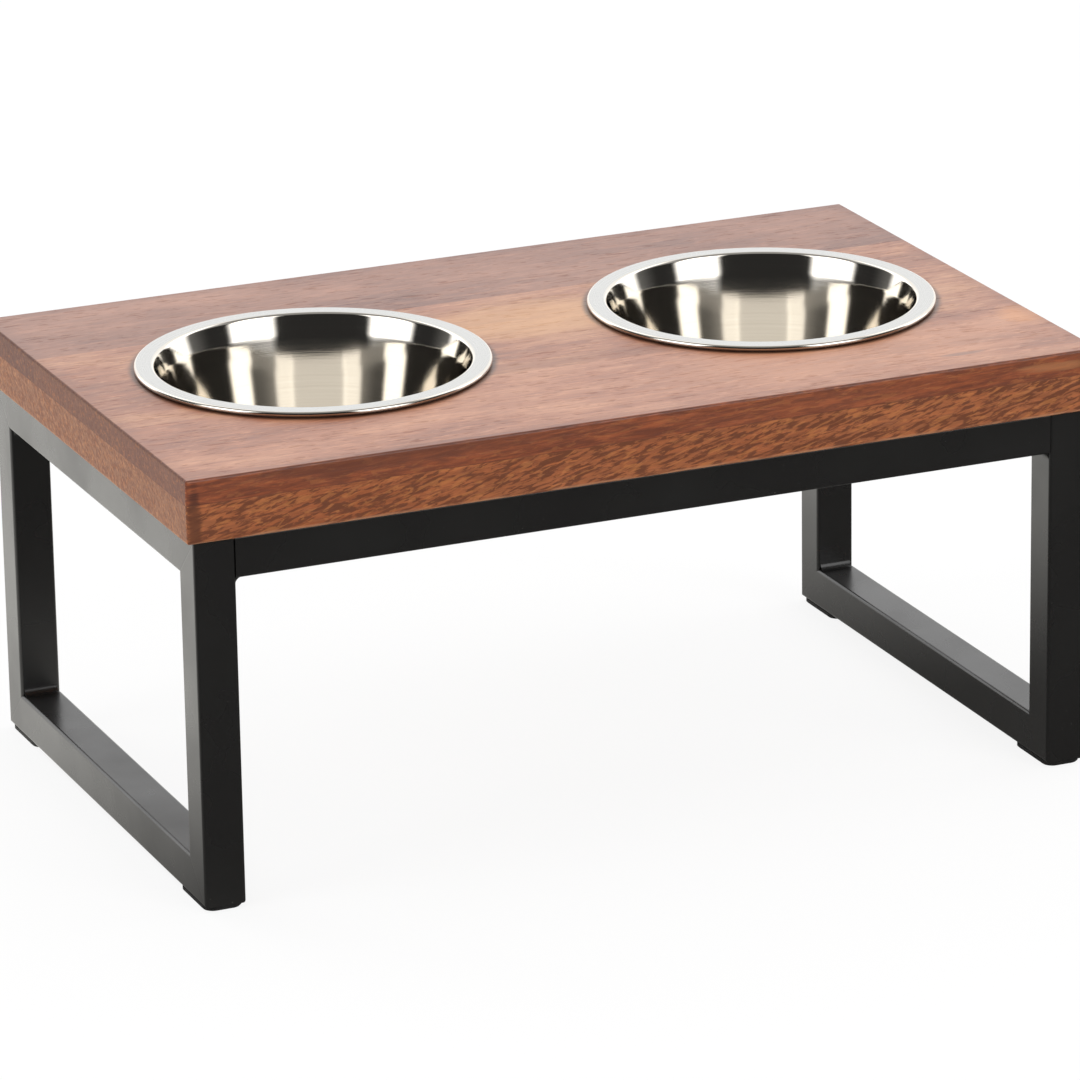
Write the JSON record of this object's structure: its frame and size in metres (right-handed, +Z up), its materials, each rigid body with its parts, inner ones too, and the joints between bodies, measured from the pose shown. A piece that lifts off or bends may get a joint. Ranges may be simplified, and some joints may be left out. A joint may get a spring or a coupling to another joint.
{
  "type": "double pet bowl stand",
  "caption": "Raised feeding stand: pressed steel bowls hang by rolled rims in a thick glued wood top on a welded black square-tube frame, and lift out to be filled and washed.",
  "frame": {"origin": "on the floor, under the middle of the top", "axes": "+X along the top's length towards the stand's right, +Y towards its rear, +Z up"},
  "size_m": [0.584, 0.356, 0.2694],
  "materials": {
    "lacquered_wood": "red-brown hardwood, satin lacquer, open pores",
    "black_paint": "satin black paint on steel tube",
    "painted_weld": "satin black paint over weld beads",
    "foot_rubber": "matt black rubber pad",
    "screw_steel": "plain zinc-plated screw",
    "polished_steel": "pressed stainless steel, polished inside, satin on the flange"
  },
  "bodies": {
    "stand": {"upper_front_board": "lacquered_wood", "upper_rear_board": "lacquered_wood", "upper_left_block": "lacquered_wood", "upper_center_block": "lacquered_wood", "upper_right_block": "lacquered_wood", "lower_front_board": "lacquered_wood", "lower_rear_board": "lacquered_wood", "lower_left_block": "lacquered_wood", "lower_center_block": "lacquered_wood", "lower_right_block": "lacquered_wood", "left_top_bar": "black_paint", "left_bottom_bar": "black_paint", "left_front_leg": "black_paint", "left_rear_leg": "black_paint", "right_top_bar": "black_paint", "right_bottom_bar": "black_paint", "right_front_leg": "black_paint", "right_rear_leg": "black_paint", "front_rail": "black_paint", "rear_rail": "black_paint", "left_loop_welds": "painted_weld", "right_loop_welds": "painted_weld", "rail_welds": "painted_weld", "left_front_foot": "foot_rubber", "left_rear_foot": "foot_rubber", "right_front_foot": "foot_rubber", "right_rear_foot": "foot_rubber", "top_screws": "screw_steel"},
    "left_bowl": {"left_bowl": "polished_steel"},
    "right_bowl": {"right_bowl": "polished_steel"}
  },
  "joints": [
    {"name": "left_bowl_lift", "type": "slide", "parent": "stand", "child": "left_bowl", "axis": [0, 0, 1], "range_m": [0, 0.11]},
    {"name": "right_bowl_lift", "type": "slide", "parent": "stand", "child": "right_bowl", "axis": [0, 0, 1], "range_m": [0, 0.11]}
  ]
}
